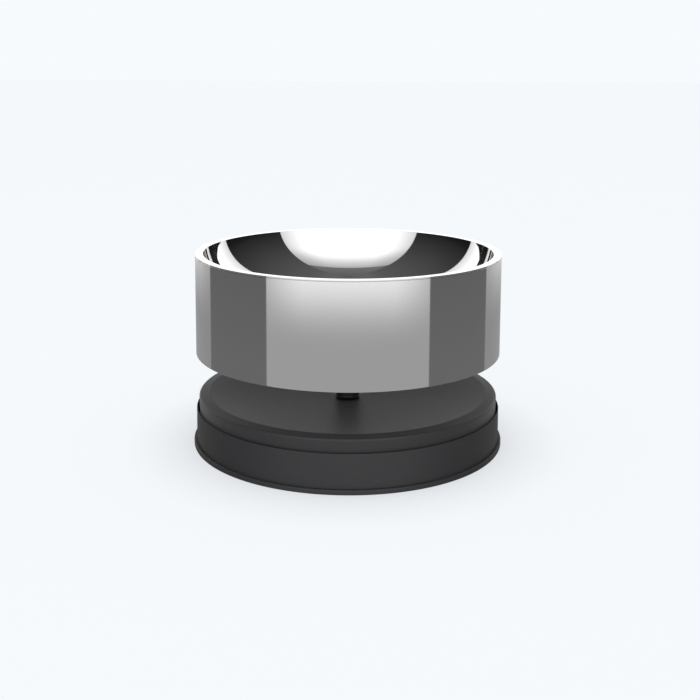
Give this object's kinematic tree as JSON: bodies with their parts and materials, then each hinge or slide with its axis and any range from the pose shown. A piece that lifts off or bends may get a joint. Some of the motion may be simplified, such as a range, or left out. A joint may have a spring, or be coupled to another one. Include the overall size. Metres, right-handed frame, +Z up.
{
  "type": "raised pet bowl",
  "caption": "Round double wall stainless pet bowl with a mirror basin and a flat rim, raised on a short post above a black round base with a shallow dish; the bowl lifts off.",
  "frame": {"origin": "centre of the foot ring on the floor", "axes": "+Z up along the bowl's axis, the front faces -Y, +X to the right seen from the front"},
  "size_m": [0.2092, 0.2092, 0.1288],
  "materials": {
    "basin_steel": "mirror polished stainless",
    "drum_steel": "buffed stainless, a touch softer than the basin",
    "plate_steel": "dull pressed stainless",
    "socket_plastic": "moulded black",
    "soft_rubber": "soft dark grey",
    "fastener_steel": "bright zinc plate",
    "shell_plastic": "soft touch black",
    "skirt_rubber": "smooth matte black",
    "foot_rubber": "smooth matte black",
    "post_coating": "black powder coat",
    "ballast_iron": "raw cast",
    "cover_plastic": "moulded black"
  },
  "bodies": {
    "base": {"platform": "shell_plastic", "skirt": "skirt_rubber", "foot_ring": "foot_rubber", "centre_post": "post_coating", "post_pad": "soft_rubber", "post_seal": "soft_rubber", "post_bolt": "fastener_steel", "post_washer": "fastener_steel", "ballast_disc": "ballast_iron", "bottom_cover": "cover_plastic", "cover_screws": "fastener_steel"},
    "bowl": {"inner_bowl": "basin_steel", "outer_wall": "drum_steel", "bottom_plate": "plate_steel", "post_socket": "socket_plastic", "socket_liner": "soft_rubber", "socket_screws": "fastener_steel", "weld_nuts": "fastener_steel"}
  },
  "joints": [
    {"name": "bowl_lift", "type": "slide", "parent": "base", "child": "bowl", "axis": [0, 0, 1], "range_m": [0, 0.06]}
  ]
}
